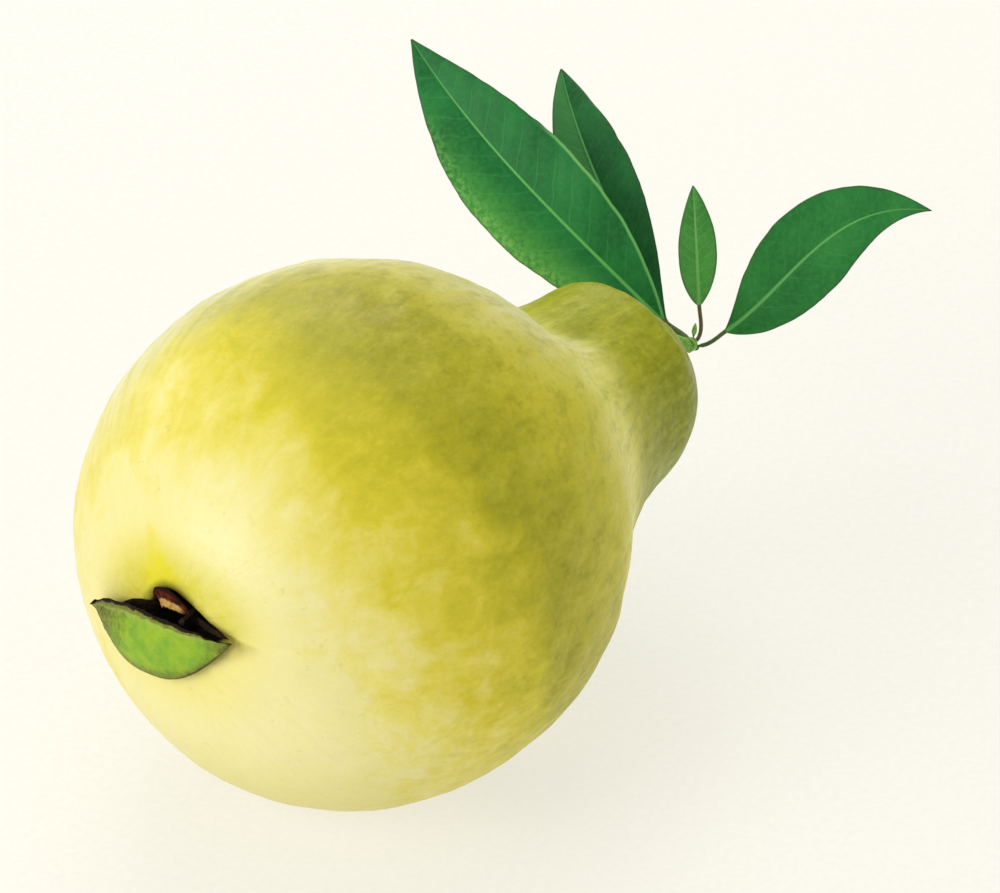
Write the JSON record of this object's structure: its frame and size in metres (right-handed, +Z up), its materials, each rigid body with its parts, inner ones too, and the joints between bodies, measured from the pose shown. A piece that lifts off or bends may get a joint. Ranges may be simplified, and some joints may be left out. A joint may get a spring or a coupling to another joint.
{
  "type": "whole guava with leaves",
  "caption": "Whole long-necked yellow guava lying on its side, picked with its stalk, bud and leaves, with a dried flower hollow at the blunt end.",
  "frame": {"origin": "centre of the flat spot the fruit rests on", "axes": "+X runs level along the fruit from the flower end to the stalk end, +Z is up, +Y completes the right-handed frame"},
  "size_m": [0.1354, 0.0829, 0.0704],
  "materials": {
    "skin": "smooth waxy guava skin, yellow with an olive neck and a pale flower end",
    "stalk": "green living stalk with brown scars",
    "leaf": "deep green satin leaf with a light midrib",
    "young_leaf": "lighter green young leaf",
    "sepal_green": "fleshy lime-green sepal with a dried brown rim",
    "sepal_dry": "dry maroon-brown sepal",
    "style_dry": "dry dark brown style"
  },
  "bodies": {
    "root": {"fruit": "skin", "stalk": "stalk", "bud": "stalk", "leaf_large": "leaf", "leaf_rear": "leaf", "leaf_right": "leaf", "leaf_small": "young_leaf", "sepal_green": "sepal_green", "sepal_dry_top": "sepal_dry", "sepal_dry_left": "sepal_dry", "sepal_dry_right": "sepal_dry", "style_dry": "style_dry"}
  },
  "joints": []
}
